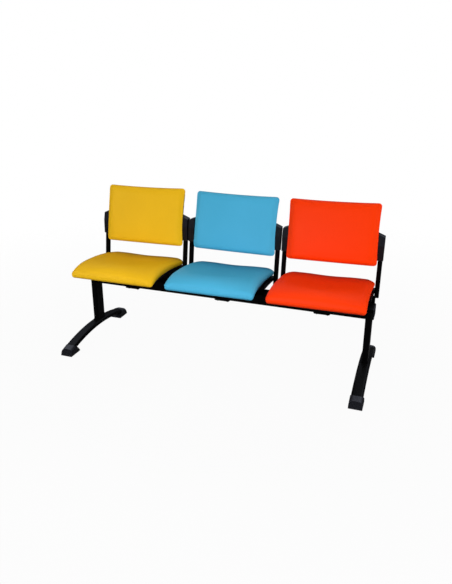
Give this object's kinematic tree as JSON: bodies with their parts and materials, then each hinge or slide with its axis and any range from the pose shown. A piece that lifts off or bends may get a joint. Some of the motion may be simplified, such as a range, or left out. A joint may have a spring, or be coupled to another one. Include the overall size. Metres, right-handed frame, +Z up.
{
  "type": "three-seat bench",
  "caption": "Beam seating for waiting areas: padded seat and back cushions on one steel beam, carried by T-shaped legs with arched feet.",
  "frame": {"origin": "on the floor, under the middle of the bench's bounding box", "axes": "+X along the beam to the red seat, -Y to the front, where people sit facing, +Z up"},
  "size_m": [1.647, 0.636, 0.8485],
  "materials": {
    "yellow_upholstery": "smooth satin artificial leather",
    "blue_upholstery": "smooth satin artificial leather",
    "red_upholstery": "smooth satin artificial leather",
    "black_steel": "black powder coat",
    "black_plastic": "moulded, lightly grained",
    "plywood": "unfinished",
    "zinc_plated_steel": "zinc plated"
  },
  "bodies": {
    "root": {"back_screws": "zinc_plated_steel", "clamp_bolts": "zinc_plated_steel", "clamp_nuts": "zinc_plated_steel", "left_back_board": "plywood", "left_back_cushion": "yellow_upholstery", "left_back_shell": "black_plastic", "left_beam_cap": "black_plastic", "left_beam_clamp": "black_steel", "left_clamp_plate": "black_steel", "left_cross_tubes": "black_steel", "left_foot_arch": "black_steel", "left_front_shoe": "black_plastic", "left_leg_column": "black_steel", "left_leg_cradle": "black_steel", "left_rear_shoe": "black_plastic", "left_seat_board": "plywood", "left_seat_cushion": "yellow_upholstery", "left_seat_pan": "black_plastic", "left_seat_rail_left": "black_steel", "left_seat_rail_right": "black_steel", "left_upright_left": "black_steel", "left_upright_right": "black_steel", "leg_bolts": "zinc_plated_steel", "main_beam": "black_steel", "middle_back_board": "plywood", "middle_back_cushion": "blue_upholstery", "middle_back_shell": "black_plastic", "middle_beam_clamp": "black_steel", "middle_clamp_plate": "black_steel", "middle_cross_tubes": "black_steel", "middle_seat_board": "plywood", "middle_seat_cushion": "blue_upholstery", "middle_seat_pan": "black_plastic", "middle_seat_rail_left": "black_steel", "middle_seat_rail_right": "black_steel", "middle_upright_left": "black_steel", "middle_upright_right": "black_steel", "right_back_board": "plywood", "right_back_cushion": "red_upholstery", "right_back_shell": "black_plastic", "right_beam_cap": "black_plastic", "right_beam_clamp": "black_steel", "right_clamp_plate": "black_steel", "right_cross_tubes": "black_steel", "right_foot_arch": "black_steel", "right_front_shoe": "black_plastic", "right_leg_column": "black_steel", "right_leg_cradle": "black_steel", "right_rear_shoe": "black_plastic", "right_seat_board": "plywood", "right_seat_cushion": "red_upholstery", "right_seat_pan": "black_plastic", "right_seat_rail_left": "black_steel", "right_seat_rail_right": "black_steel", "right_upright_left": "black_steel", "right_upright_right": "black_steel", "seat_screws": "zinc_plated_steel", "upright_plugs": "black_plastic"}
  },
  "joints": []
}
